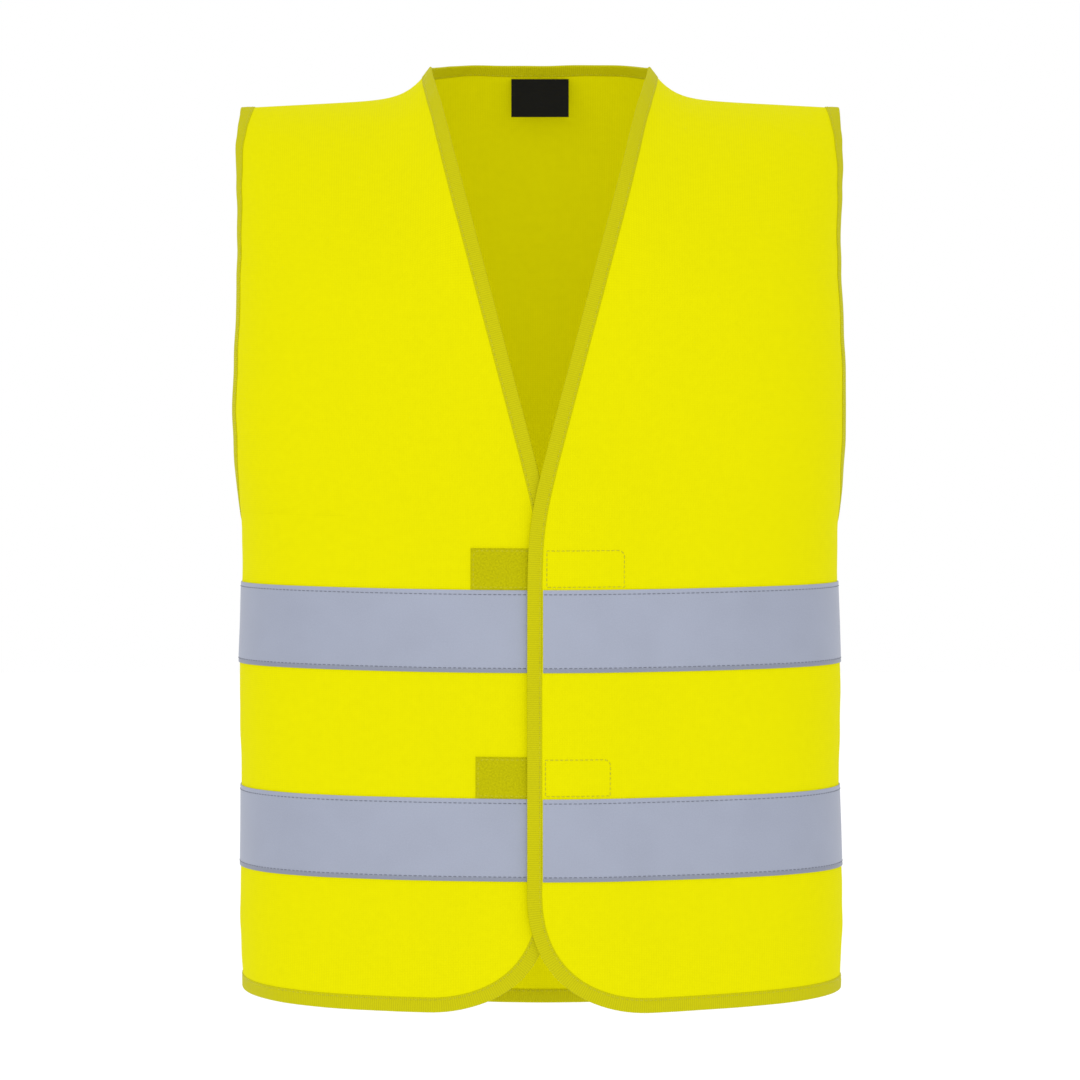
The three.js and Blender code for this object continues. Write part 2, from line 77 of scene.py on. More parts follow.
# The vest's own surface, in millimetres, with heights above the lowest point of the back hem.
HALF_WIDTH = 186.5
FRONT_DEPTH = 122
BACK_DEPTH = 118
PLAN_POWER = 3
SHOULDER_POWER = 1.75
ARMHOLE_FLARE = 5.5
FLARE_BELOW = 16
FLARE_RUN = 80
FRONT_HEM = 16
SIDE_HEM = 20
SIDE_RISE = 5
HEM_FADE = 90
UNDERARM = 316
FRONT_CHEST = 450
BACK_CHEST = 470
SHOULDER_RUN = 220
SHOULDER_TIP = 576
SHOULDER_REACH = 178
SHOULDER_SLOPE = 0.05
BACK_NECK = 607
NECK_HALF_WIDTH = 69
NECK_RISE = 50
NECK_RISE_AT = 64.8
NECK_RISE_SOFT = 9
BACK_NECK_POWER = 6
CROSSING = 312
CROSSING_SOFT = 12
OVERLAP = 7
CREASE = 74
CORNER_WIDTH = 76
CORNER_HEIGHT = 88
ARMHOLE_TURN = math.radians(68)
ARMHOLE_ROUND = 55
LAP = 2.0  # each front moves this far aside where the fronts lie on each other
LAP_FULL = 25
TRIM_FACE = 0.7  # from the middle of the cloth to the underside of what is sewn on it
LOWER_TAPE = 96
UPPER_TAPE = 222.5
STRIP_WIDTH = 25
HOOK_ENDS = {"lower": 44, "upper": 52.7}  # far end of each strip, from the middle of the front
LOOP_ENDS = {"lower": 39, "upper": 42}

FRONT, BACK = -1, 1
LEFT, RIGHT = 1, -1
HANDS = {"left": LEFT, "right": RIGHT}
QUARTER = math.pi / 2
SEAM = QUARTER - 0.15 / FRONT_DEPTH  # turn of the side seam, short of the middle of the side
MM = 0.001
BLEND_START = 98  # a front's columns stand closer together between these distances from the middle
BLEND_END = 50
FRONT_COLUMNS = 104  # across a front, from its free edge to the side
NECK_STEP = 2  # between the sections of the neck bindings
BEND_MARGIN = 6  # how far the closely spaced columns reach past those distances on each side
BEND_CROWD = 4.0  # how many times closer they stand there


# ---------------------------------------------------------------- the vest's surface


def ease(value):
    value = np.clip(value, 0, 1)
    return value**2 * (3 - 2 * value)


def mix(start, end, share):
    return start + (end - start) * share


def pick(side, front, back):
    """The front's value or the back's, for one side or an array of sides."""
    return np.where(np.asarray(side) == FRONT, front, back)


def rounded(angle, power):
    """The two legs of a rounded quarter turn."""
    sine, cosine = np.sin(angle), np.cos(angle)
    reach = (np.abs(sine) ** power + np.abs(cosine) ** power) ** (-1 / power)
    return sine * reach, cosine * reach


def angle_for(share, power):
    rest = np.maximum(1 - np.abs(share) ** power, 0) ** (1 / power)
    return np.arctan2(share, rest)


def half_width_at(climb):
    return HALF_WIDTH + ARMHOLE_FLARE * ease((climb - UNDERARM + FLARE_BELOW) / FLARE_RUN)


def turn_at(x, climb):
    return angle_for(x / half_width_at(climb), PLAN_POWER)


def shoulder_line(x):
    rise = NECK_RISE / (1 + np.exp((np.abs(x) - NECK_RISE_AT) / NECK_RISE_SOFT))
    return SHOULDER_TIP + SHOULDER_SLOPE * (SHOULDER_REACH - np.abs(x)) + rise


NECK_POINT = float(shoulder_line(NECK_HALF_WIDTH))


def smooth_surface(side, turn, climb, lap=0):
    """The vest's middle surface without folds: points in millimetres above the hem."""
    across, away = rounded(turn, PLAN_POWER)
    x = across * half_width_at(climb)
    chest = pick(side, FRONT_CHEST, BACK_CHEST)
    lean = np.maximum(climb - chest, 0) / SHOULDER_RUN * QUARTER
    rise, reach = rounded(lean, SHOULDER_POWER)
    middle_hem = pick(side, FRONT_HEM, 0)
    hem = mix(middle_hem, SIDE_HEM, np.sin(turn) ** 2) * np.clip(1 - climb / HEM_FADE, 0, 1) ** 2
    side_rise = SIDE_RISE * np.sin(turn) ** 2 * (1 - rise)
    z = np.minimum(climb, chest) + hem + side_rise + (shoulder_line(x) - chest) * rise
    near_middle = ease((CREASE - np.abs(x)) / (CREASE - LAP_FULL))
    below_cut = ease((FRONT_CHEST - climb) / (FRONT_CHEST - CROSSING))
    aside = lap * LAP * near_middle * below_cut
    y = side * (away * pick(side, FRONT_DEPTH, BACK_DEPTH) * reach + aside)
    return np.stack(np.broadcast_arrays(x, y, z), axis=-1)


def unit(vectors):
    return vectors / np.maximum(np.linalg.norm(vectors, axis=-1, keepdims=True), 1e-9)


def run_along(points):
    """Distance from the first point to each point of a line."""
    return np.concatenate([[0], np.cumsum(np.linalg.norm(np.diff(points, axis=0), axis=1))])


def surface_frame(side, turn, climb, lap=0):
    """Points, outward normals, and the movement per unit of turn and of climb."""
    turn_step, climb_step = 1e-3, 0.5
    per_turn = smooth_surface(side, turn + turn_step, climb, lap)
    per_turn = (per_turn - smooth_surface(side, turn - turn_step, climb, lap)) / (2 * turn_step)
    per_climb = smooth_surface(side, turn, climb + climb_step, lap)
    per_climb = (per_climb - smooth_surface(side, turn, climb - climb_step, lap)) / (2 * climb_step)
    outward = -np.asarray(side, float)[..., None] if np.ndim(side) else -float(side)
    normal = unit(np.cross(per_turn, per_climb) * outward)
    return smooth_surface(side, turn, climb, lap), normal, per_turn, per_climb


def folds(side, turn, climb):
    """How far the cloth stands off its smooth surface: slack folds, deepest low down, none at the seams."""
    depth = bpy.context.scene.vest_sizes.fold_depth / MM
    x = rounded(turn, PLAN_POWER)[0] * HALF_WIDTH
    free = ease((QUARTER - np.abs(turn)) / 0.35)
    top = pick(side, FRONT_CHEST, BACK_CHEST) + SHOULDER_RUN
    free = free * ease((top - climb) / 90)
    low = mix(1.0, 0.35, ease(climb / 330))
    slant = np.abs(x) * 0.55
    upright = np.sin(x / 27 + climb / 210 + pick(side, 0.6, 1.9)) * low
    drawn = 0.45 * np.sin((climb + slant) / 34 + pick(side, 0.2, 2.4)) * ease((climb - 250) / 120)
    sag = 0.3 * np.sin((climb - slant) / 23 + x / 60) * (1 - ease((climb - 260) / 120))
    fine = 0.12 * np.sin(x / 7.1 + 2 * np.sin(climb / 19)) * np.sin(climb / 9.3 + 1.5 * np.sin(x / 23))
    return depth * free * (upright + drawn + sag + fine)


def placed(side, turn, climb, lift=0, lap=0):
    """Points on the folded surface, lifted off it, in metres in the row's frame."""
    point, normal, _, _ = surface_frame(side, turn, climb, lap)
    off = np.asarray(folds(side, turn, climb) + lift)[..., None]
    point = point + normal * off
    return (point - np.array([0, 0, NECK_POINT])) * MM


def softly(value):
    return CROSSING_SOFT * np.log1p(np.exp(value / CROSSING_SOFT))


NECK_LEAN = (NECK_HALF_WIDTH + OVERLAP) / softly(NECK_POINT - CROSSING)


def front_edge(climb):
    """Distance of a front's free edge from the middle: upright below, sloping to the neck point above."""
    climb = np.asarray(climb, float)
    x = np.zeros_like(climb)
    for _ in range(16):
        z = smooth_surface(FRONT, turn_at(x, climb), np.maximum(climb, HEM_FADE))[..., 2]
        x = -OVERLAP + NECK_LEAN * softly(z - CROSSING)
    corner = np.clip(1 - climb / CORNER_HEIGHT, 0, 1)
    return x + CORNER_WIDTH * (1 - np.sqrt(1 - corner**2))


def front_edge_turn(climb):
    return turn_at(front_edge(climb), climb)


def armhole_turn(climb):
    below = 1 - np.clip((climb - UNDERARM) / ARMHOLE_ROUND, 0, 1)
    turned = mix(ARMHOLE_TURN, QUARTER, 1 - np.sqrt(1 - below**2))
    return np.where(climb < UNDERARM, SEAM, np.minimum(turned, SEAM))


def neckline_climb(turn):
    """How far the back reaches up at each turn: to the neckline, or to the shoulder seam beside it."""
    top = BACK_CHEST + SHOULDER_RUN
    x = np.abs(rounded(turn, PLAN_POWER)[0] * half_width_at(top))
    x = np.minimum(x, NECK_HALF_WIDTH)
    height = mix(BACK_NECK, NECK_POINT, (x / NECK_HALF_WIDTH) ** BACK_NECK_POWER)
    share = (height - BACK_CHEST) / (shoulder_line(x) - BACK_CHEST)
    return np.minimum(BACK_CHEST + angle_for(share, SHOULDER_POWER) / QUARTER * SHOULDER_RUN, top - 0.15)


TURNS = np.linspace(-QUARTER, QUARTER, 721)


def girth(side, turn):
    """Distance round the vest from the middle, in metres, which the weave follows."""
    rim = smooth_surface(side, TURNS, np.full_like(TURNS, UNDERARM - 60))
    run = run_along(rim)
    return (np.interp(turn, TURNS, run) - np.interp(0, TURNS, run)) * MM


# ---------------------------------------------------------------- meshes


def make_object(name, vertices, faces, uvs, material):
    """A mesh object. uvs holds one pair per vertex, in metres along and across the cloth."""
    mesh = bpy.data.meshes.new(name)
    mesh.from_pydata(np.asarray(vertices).tolist(), [], np.asarray(faces).tolist())
    layer = mesh.uv_layers.new(name="Cloth")
    corners = np.empty(len(mesh.loops), np.int32)
    mesh.loops.foreach_get("vertex_index", corners)
    layer.data.foreach_set("uv", np.asarray(uvs, np.float32)[corners].ravel())
    mesh.polygons.foreach_set("use_smooth", np.ones(len(mesh.polygons), bool))
    mesh.materials.append(material)
    mesh.validate()
    mesh.update()
    made = bpy.data.objects.new(name, mesh)
    bpy.context.collection.objects.link(made)
    return made


def grid_faces(rows, columns, offset=0, flip=False):
    i, j = np.meshgrid(np.arange(rows - 1), np.arange(columns - 1), indexing="ij")
    a = offset + i * columns + j
    quads = np.stack([a, a + 1, a + columns + 1, a + columns], axis=-1).reshape(-1, 4)
    return quads[:, ::-1] if flip else quads


def sheet_mesh(name, outer, inner, uv, material):
    """A closed sheet from two matching grids. Its rim has its own points, which keeps the shading smooth."""
    rows, columns = outer.shape[:2]
    ring = np.concatenate([
        np.arange(columns),
        np.arange(1, rows) * columns + columns - 1,
        (rows - 1) * columns + np.arange(columns - 2, -1, -1),
        np.arange(rows - 2, 0, -1) * columns,
    ])
    flat_outer, flat_inner, flat_uv = outer.reshape(-1, 3), inner.reshape(-1, 3), uv.reshape(-1, 2)
    count, around = rows * columns, len(ring)
    vertices = np.concatenate([flat_outer, flat_inner, flat_outer[ring], flat_inner[ring]])
    uvs = np.concatenate([flat_uv, flat_uv, flat_uv[ring], flat_uv[ring]])
    here = 2 * count + np.arange(around)
    after = 2 * count + (np.arange(around) + 1) % around
    rim = np.stack([here, here + around, after + around, after], axis=1)
    step_u, step_v = outer[0, 1] - outer[0, 0], outer[1, 0] - outer[0, 0]
    wrong_way = np.dot(np.cross(step_u, step_v), outer[0, 0] - inner[0, 0]) < 0
    top = grid_faces(rows, columns, 0, wrong_way)
    under = grid_faces(rows, columns, count, not wrong_way)
    rim = rim[:, ::-1] if wrong_way else rim
    return make_object(name, vertices, np.concatenate([top, under, rim]), uvs, material)


def area_of(grid):
    """Area of a grid of points, in square metres."""
    a, b = grid[1:, 1:] - grid[:-1, :-1], grid[1:, :-1] - grid[:-1, 1:]
    return np.linalg.norm(np.cross(a, b), axis=-1).sum() / 2


def longest(grid, axis):
    return np.linalg.norm(np.diff(grid, axis=axis), axis=-1).sum(axis=axis).max()


def cloth_piece(name, side, turn, climb, lap=0):
    """A sheet of cloth that follows the vest, half its thickness to each side of the middle."""
    half = sizes_in_mm()[0] / 2
    outer, inner = (placed(side, turn, climb, lift, lap) for lift in (half, -half))
    uv = np.stack(np.broadcast_arrays(girth(side, turn), climb * MM), axis=-1)
    made = sheet_mesh(name, outer, inner, uv, finish_of("cloth"))
    measure(made, area_of(outer), longest(outer, 1), longest(outer, 0))
    return made


def measure(piece, area, width, length):
    piece["flat_area"], piece["flat_width"], piece["flat_length"] = float(area), float(width), float(length)


# ---------------------------------------------------------------- edges and their bindings


def binding_width():
    return bpy.context.scene.vest_sizes.binding_width / MM


def spots(side, turn, climb, inner_turn, inner_climb):
    count = len(turn)
    return {
        "side": np.full(count, side) if np.ndim(side) == 0 else side,
        "turn": turn,
        "climb": climb,
        "inner_turn": inner_turn,
        "inner_climb": inner_climb,
    }


def joined(*paths):
    return {key: np.concatenate([path[key] for path in paths]) for key in paths[0]}


def reversed_path(path):
    return {key: values[::-1] for key, values in path.items()}


def nearest_spot(side, turn, climb, target, along_row=False):
    """The turn and climb whose place on the surface is nearest to a target, found in a few steps."""
    turn, climb = np.array(turn, float), np.array(climb, float)
    for _ in range(5):
        point, _, per_turn, per_climb = surface_frame(side, turn, climb)
        away = target - point
        tt = np.sum(per_turn**2, axis=-1)
        by_turn = np.sum(away * per_turn, axis=-1)
        if along_row:
            turn = turn + by_turn / tt
            continue
        tc = np.sum(per_turn * per_climb, axis=-1)
        cc = np.sum(per_climb**2, axis=-1)
        by_climb = np.sum(away * per_climb, axis=-1)
        scale = tt * cc - tc**2
        turn = turn + (by_turn * cc - by_climb * tc) / scale
        climb = climb + (by_climb * tt - by_turn * tc) / scale
    return turn, climb


def edge_path(side, turn, climb, inside_turn, inside_climb, start="square", end="square", hand=1):
    """The spots of an edge and of the line a binding's width inside it.

    An end that is "row" is cut along the panel's row and one that is "down" along its column.
    """
    width = binding_width()
    point, normal, per_turn, _ = surface_frame(side, turn, climb)
    along = unit(np.gradient(point, axis=0))
    inward = unit(np.cross(normal, along))
    toward = smooth_surface(side, inside_turn, inside_climb) - point
    inward = inward * np.sign(np.sum(inward * toward, axis=-1))[:, None]
    inner_turn, inner_climb = nearest_spot(side, turn, climb, point + inward * width)
    row = unit(per_turn) * hand
    for k, how in ((0, start), (-1, end)):
        if how == "row":
            inner_turn[k] = nearest_spot(side, turn[k], climb[k], point[k] + row[k] * width, True)[0]
            inner_climb[k] = climb[k]
        if how == "down":
            inner_turn[k] = turn[k]
            inner_climb[k] = climb[k] - width
        if how == "up":
            inner_turn[k] = turn[k]
            inner_climb[k] = climb[k] + width
    return spots(side, turn, climb, inner_turn, inner_climb)


def binding_profile(width):
    """The folded binding's section: distance inside the edge, and height off the cloth's middle."""
    face, thick = 0.32, 0.62
    leg = [(width, 0.3), (width - 0.5, 0.62), (width - 1.3, 0.4), (width - 2.3, 0.72)]
    leg += [(width / 2, 0.86), (1.2, 0.8)]
    outer = [(d, face + thick * height) for d, height in leg]
    radius = face + thick * 0.8
    bend = [(-radius * math.cos(a), radius * math.sin(a)) for a in np.linspace(QUARTER, -QUARTER, 9)]
    outer = outer + bend + [(d, -height) for d, height in reversed(outer)]
    inner = [(width, -face), (0.2, -face), (-0.25, 0), (0.2, face), (width, face)]
    return np.array(outer + inner)


def section_points(path, profile, lap):
    """Every profile point at every spot of an edge."""
    width = binding_width()
    column = {key: values[:, None] for key, values in path.items()}
    distance, height = profile[:, 0][None, :], profile[:, 1][None, :]
    share = np.maximum(distance, 0) / width
    turn = mix(column["turn"], column["inner_turn"], share)
    climb = mix(column["climb"], column["inner_climb"], share)
    side = np.broadcast_to(column["side"], turn.shape)
    base = placed(side, turn, climb, np.broadcast_to(height, turn.shape), lap)
    edge = placed(path["side"], path["turn"], path["climb"], 0, lap)
    within = placed(path["side"], path["inner_turn"], path["inner_climb"], 0, lap)
    outward = unit(edge - within)[:, None, :]
    return base + outward * np.maximum(-distance, 0)[..., None] * MM


def binding_piece(name, path, material, lap=0, ring=False, begun=0.0):
    """A strip folded round an edge, with its ends closed unless it runs right round.

    begun is how much of the strip, in metres, came before its first spot, so that the ribs run on.
    """
    profile = binding_profile(binding_width())
    points = section_points(path, profile, lap)
    count, around = points.shape[:2]
    run = begun + run_along(points[:, 0])
    wide = run_along(profile) * MM
    uv = np.stack(np.meshgrid(run, wide, indexing="ij"), axis=-1).reshape(-1, 2)
    lengths = np.arange(count if ring else count - 1)
    i, j = np.meshgrid(lengths, np.arange(around), indexing="ij")
    after, beside = (i + 1) % count, (j + 1) % around
    faces = [i * around + j, i * around + beside, after * around + beside, after * around + j]
    faces = np.stack(faces, axis=-1).reshape(-1, 4)
    made = make_object(name, points.reshape(-1, 3), faces, uv, material)
    close_tube(made, around, [] if ring else [0, (count - 1) * around])
    made["run_end"] = float(run[-1])
    return made


def close_tube(made, around, ends):
    """Caps a tube at the ends named by their first point, and turns its faces outwards."""
    working = bmesh.new()
    working.from_mesh(made.data)
    working.verts.ensure_lookup_table()
    for start in ends:
        corners = [working.verts[start + k] for k in range(around)]
        cap = working.faces.new(corners[::-1] if start else corners)
        cap.smooth = False
        for edge in cap.edges:
            edge.smooth = False
    bmesh.ops.recalc_face_normals(working, faces=working.faces)
    working.to_mesh(made.data)
    working.free()


# ---------------------------------------------------------------- stitches

STITCH_SECTIONS = ((-1.0, 0.45, 0.1), (-0.55, 1.0, 0.8), (0.55, 1.0, 0.8), (1.0, 0.45, 0.1))


def sampled(at, run, values):
    return np.stack([np.interp(at, run, values[:, k]) for k in range(3)], axis=1)


def stitch_mesh(name, lines, material):
    """Rows of single stitches. Each line holds its points and the directions away from the cloth."""
    sizes = bpy.context.scene.vest_sizes
    pitch, width = sizes.stitch_pitch, 0.5 * MM
    vertices, faces = [], []
    for points, away in lines:
        run = run_along(points)
        number = max(int(run[-1] / pitch), 1)
        at = (np.arange(number) + 0.5) * run[-1] / number
        here, up = sampled(at, run, points), unit(sampled(at, run, away))
        ahead, behind = sampled(at + 0.3 * pitch, run, points), sampled(at - 0.3 * pitch, run, points)
        along = unit(ahead - behind)
        across = unit(np.cross(up, along))
        for k in range(number):
            start = len(vertices)
            for reach, broad, proud in STITCH_SECTIONS:
                middle = here[k] + along[k] * reach * 0.36 * pitch
                for a, b in ((-1, -0.3), (1, -0.3), (0.55, 1), (-0.55, 1)):
                    high = (b * proud if b > 0 else b) * 0.28 * MM
                    vertices.append(middle + across[k] * a * broad * width / 2 + up[k] * high)
            for s in range(len(STITCH_SECTIONS) - 1):
                for c in range(4):
                    a, b = start + 4 * s + c, start + 4 * s + (c + 1) % 4
                    faces.append([a, b, b + 4, a + 4])
            last = start + 4 * (len(STITCH_SECTIONS) - 1)
            faces.append([start + 3, start + 2, start + 1, start])
            faces.append([last, last + 1, last + 2, last + 3])
    vertices = np.array(vertices)
    return make_object(name, vertices, np.array(faces), vertices[:, :2], material)


def surface_line(side, turn, climb, lift, lap=0):
    """A line on the folded cloth and the directions away from it, for stitches."""
    points = placed(side, turn, climb, lift, lap)
    return points, unit(placed(side, turn, climb, lift + 1, lap) - points)


def binding_stitch_lines(path, lap=0):
    """The stitches near the inner edge of a binding, on its outer and its inner face."""
    share = (binding_width() - 1.3) / binding_width()
    turn = mix(path["turn"], path["inner_turn"], share)
    climb = mix(path["climb"], path["inner_climb"], share)
    lines = []
    for facing in (1, -1):
        points = placed(path["side"], turn, climb, facing * 0.62, lap)
        further = placed(path["side"], turn, climb, facing * 0.62 + facing, lap)
        lines.append((points, unit(further - points)))
    return lines


# ---------------------------------------------------------------- materials


def linear_colour(code):
    """An sRGB hex colour as linear red, green, blue and alpha."""
    channels = [int(code[k : k + 2], 16) / 255 for k in (0, 2, 4)]
    bent = [c / 12.92 if c <= 0.04045 else ((c + 0.055) / 1.055) ** 2.4 for c in channels]
    return (*bent, 1.0)


def fill(tree, node, inputs):
    """Sets a node's inputs, each to a value or by a link to a socket."""
    for name, value in inputs.items():
        if isinstance(value, bpy.types.NodeSocket):
            tree.links.new(value, node.inputs[name])
        else:
            node.inputs[name].default_value = value


def add_node(tree, kind, inputs=None, **settings):
    """Adds a node with its settings and inputs."""
    made = tree.nodes.new(kind)
    for name, value in settings.items():
        setattr(made, name, value)
    fill(tree, made, inputs or {})
    return made


def new_material(name):
    """An empty material with its shader, output and the cloth's own coordinates."""
    made = bpy.data.materials.new(name)
    made.use_nodes = True
    tree = made.node_tree
    tree.nodes.clear()
    shader = add_node(tree, "ShaderNodeBsdfPrincipled")
    add_node(tree, "ShaderNodeOutputMaterial", {"Surface": shader.outputs["BSDF"]})
    cloth = add_node(tree, "ShaderNodeUVMap", uv_map="Cloth")
    return made, tree, shader, cloth.outputs["UV"]


def vest_colour(name):
    return tuple(getattr(bpy.context.scene.vest_colours, name)) + (1.0,)


def ribs(tree, coordinates, spacing, direction, soften=0.0):
    """A wave of straight threads, a spacing in millimetres apart. At scale 1 its period is 2 pi / 20 m."""
    return add_node(
        tree,
        "ShaderNodeTexWave",
        {"Vector": coordinates, "Scale": math.pi / 10 / (spacing * MM), "Distortion": soften},
        wave_type="BANDS",
        bands_direction=direction,
        wave_profile="SIN",
    ).outputs["Fac"]


def noise(tree, coordinates, size, detail):
    """Mottle with spots of about a size in millimetres."""
    inputs = {"Vector": coordinates, "Scale": 1 / (size * MM), "Detail": detail}
    return add_node(tree, "ShaderNodeTexNoise", inputs).outputs["Fac"]


def combined(tree, operation, first, second):
    return add_node(tree, "ShaderNodeMath", {0: first, 1: second}, operation=operation).outputs[0]


def blended(tree, share, first, second):
    return add_node(tree, "ShaderNodeMix", {0: share, 2: first, 3: second}, data_type="FLOAT").outputs[0]


def between(tree, factor, low, high):
    inputs = {"Value": factor, "To Min": low, "To Max": high}
    return add_node(tree, "ShaderNodeMapRange", inputs).outputs["Result"]


def raised(tree, height, strength, distance):
    """A bumped normal, with its distance in millimetres."""
    inputs = {"Height": height, "Strength": strength, "Distance": distance * MM}
    return add_node(tree, "ShaderNodeBump", inputs).outputs["Normal"]


def shaded(colour, share):
    return (colour[0] * share, colour[1] * share, colour[2] * share, 1.0)


def tint(tree, factor, colour, dark, light):
    """A colour between two shares of its brightness, by a factor."""
    ramp = add_node(tree, "ShaderNodeValToRGB", {"Fac": factor})
    for element, share in zip(ramp.color_ramp.elements, (dark, light)):
        element.color = shaded(colour, share)
    return ramp.outputs["Color"]


def knitted_polyester():
    """Fluorescent warp-knitted polyester, matt, dyed right through: small loops and a faint mottle."""
    colour = vest_colour("cloth")
    made, tree, shader, uv = new_material("fluorescent_knitted_polyester")
    wales = ribs(tree, uv, 1.5, "X", 0.4)  # real wales are 0.8 mm apart, drawn coarser so that they show
    loops = combined(tree, "MULTIPLY", wales, ribs(tree, uv, 1.3, "Y", 0.4))
    share = combined(tree, "MULTIPLY", combined(tree, "ADD", loops, noise(tree, uv, 5, 5.0)), 0.6)
    fill(tree, shader, {
        "Base Color": tint(tree, share, colour, 0.9, 1.04),
        "Roughness": between(tree, loops, 0.78, 0.92),
        "Normal": raised(tree, share, 0.35, 0.25),
        "Specular IOR Level": 0.03,
        "Emission Color": colour,  # painted glow, partly real: the fluorescent dye gives back blue and ultraviolet light as yellow, and this constant glow also lifts the cloth where it lies in shade, inside and in folds
        "Emission Strength": 0.24,
    })
    return made


def ribbed_binding():
    """Woven polyester binding: ribs across its length, a little darker than the cloth."""
    colour = vest_colour("binding")
    made, tree, shader, uv = new_material("ribbed_polyester_binding")
    rib = ribs(tree, uv, 1.3, "X", 0.3)  # ribs are 0.7 mm apart, drawn coarser so that they show
    share = blended(tree, 0.3, rib, noise(tree, uv, 3, 3.0))
    fill(tree, shader, {
        "Base Color": tint(tree, share, colour, 0.82, 1.05),
        "Normal": raised(tree, share, 0.6, 0.3),
        "Roughness": 0.72,
        "Specular IOR Level": 0.1,
        # painted glow, partly real: like the cloth's fluorescent dye, this constant glow also lifts the
        # binding where it lies in shade
        "Emission Color": colour,
        "Emission Strength": 0.15,
    })
    return made


def bead_tape():
    """Reflective tape: glass beads set in aluminised film on cloth, silver grey with a fine grain."""
    colour = vest_colour("tape")
    made, tree, shader, uv = new_material("glass_bead_reflective_tape")
    grain = blended(tree, 0.5, noise(tree, uv, 0.9, 2.0), noise(tree, uv, 28, 4.0))
    plain = tint(tree, grain, colour, 0.86, 1.12)
    across = add_node(tree, "ShaderNodeSeparateXYZ", {"Vector": uv}).outputs["Y"]
    below = combined(tree, "LESS_THAN", across, 2.4 * MM)  # the edge below the stitches looks darker
    hem = add_node(tree, "ShaderNodeMix", {0: below, 6: plain, 7: shaded(colour, 0.72)}, data_type="RGBA")
    fill(tree, shader, {
        "Base Color": hem.outputs[2],
        "Roughness": between(tree, grain, 0.38, 0.56),
        "Normal": raised(tree, grain, 0.2, 0.12),
        "Metallic": 0.2,
    })
    return made


def sewing_thread(name, code):
    """Spun polyester thread with a slight twist."""
    made, tree, shader, uv = new_material(name)
    twist = ribs(tree, uv, 0.6, "DIAGONAL")
    fill(tree, shader, {"Base Color": tint(tree, twist, linear_colour(code), 0.8, 1.05), "Roughness": 0.6})
    return made


def brushed_loop():
    """Brushed nylon loop pile: fuzzy, so it takes no shine."""
    made, tree, shader, uv = new_material("brushed_nylon_loop_pile")
    fuzz = noise(tree, uv, 1.1, 6.0)
    fill(tree, shader, {
        "Base Color": tint(tree, fuzz, vest_colour("loop"), 0.6, 1.2),
        "Normal": raised(tree, fuzz, 0.9, 0.6),
        "Roughness": 0.95,
        "Specular IOR Level": 0.1,
    })
    return made


def moulded_hooks():
    """Nylon hook tape: stiff rows of small hooks that catch the light."""
    made, tree, shader, uv = new_material("woven_nylon_hook_tape")
    height = combined(tree, "MULTIPLY", ribs(tree, uv, 1.6, "Y"), ribs(tree, uv, 1.2, "X"))
    fill(tree, shader, {
        "Base Color": tint(tree, height, vest_colour("hook"), 0.75, 1.05),
        "Normal": raised(tree, height, 0.9, 0.6),
        "Roughness": 0.5,
    })
    return made


def woven_damask():
    """Black damask label: fine satin weave with a slight shine along its threads."""
    made, tree, shader, uv = new_material("black_damask_label")
    warp = ribs(tree, uv, 0.7, "X")  # threads are 0.1 mm apart, drawn coarser so that they show
    weave = combined(tree, "MULTIPLY", warp, ribs(tree, uv, 0.9, "Y"))
    fill(tree, shader, {
        "Base Color": tint(tree, weave, linear_colour("0A0A0A"), 0.6, 1.8),
        "Normal": raised(tree, weave, 0.5, 0.15),
        "Roughness": 0.7,
        "Specular IOR Level": 0.15,
    })
    return made


MAKERS = {
    "cloth": knitted_polyester,
    "binding": ribbed_binding,
    "tape": bead_tape,
    "loop": brushed_loop,
    "hook": moulded_hooks,
    "label": woven_damask,
    "yellow_thread": lambda: sewing_thread("yellow_polyester_thread", "C4C000"),
    "grey_thread": lambda: sewing_thread("grey_polyester_thread", "6E7280"),
}
made_materials = {}


def finish_of(key):
    if key not in made_materials:
        made_materials[key] = MAKERS[key]()
    return made_materials[key]


# ---------------------------------------------------------------- settings


def colour_setting(name, description, code):
    colour = linear_colour(code)[:3]
    return bpy.props.FloatVectorProperty(
        name=name, description=description, subtype="COLOR", size=3, min=0, max=1, default=colour
    )


def length_setting(name, description, default):
    return bpy.props.FloatProperty(name=name, description=description, default=default, unit="LENGTH")


class VestSizes(bpy.types.PropertyGroup):
    """Sizes that may change without the model changing."""

    cloth_thickness: length_setting("Cloth thickness", "Thickness of the knitted cloth", 0.0005)
    fold_depth: length_setting("Fold depth", "Depth of the slack folds at the hem", 0.003)
    binding_width: length_setting("Binding width", "Width of the folded binding", 0.0082)
    tape_width: length_setting("Tape width", "Width of the reflective tape", 0.05)
    stitch_pitch: length_setting("Stitch pitch", "Distance from one stitch to the next", 0.003)
    stitch_margin: length_setting("Stitch margin", "From the tape's edge to its stitches", 0.0027)


class VestColours(bpy.types.PropertyGroup):
    """Colours of the vest's materials."""

    cloth: colour_setting("Cloth", "Fluorescent yellow of the knitted cloth", "CCC800")
    binding: colour_setting("Binding", "Darker yellow of the edge binding", "B8B400")
    tape: colour_setting("Tape", "Silver grey of the reflective tape", "969CAE")
    loop: colour_setting("Loop", "Dark yellow of the loop pile", "BCB800")
    hook: colour_setting("Hook", "Yellow of the hook tape", "D4D100")


def sizes_in_mm():
    sizes = bpy.context.scene.vest_sizes
    return sizes.cloth_thickness / MM, sizes.binding_width / MM, sizes.tape_width / MM


# ---------------------------------------------------------------- edges of the panels

ROW_STEP = 4.0


def spread(start, end, step=ROW_STEP):
    return np.linspace(start, end, max(int(round((end - start) / step)), 1) + 1)


def quarter_steps(start, size, count=14):
    return start + size * (1 - np.cos(np.linspace(0, QUARTER, count)))


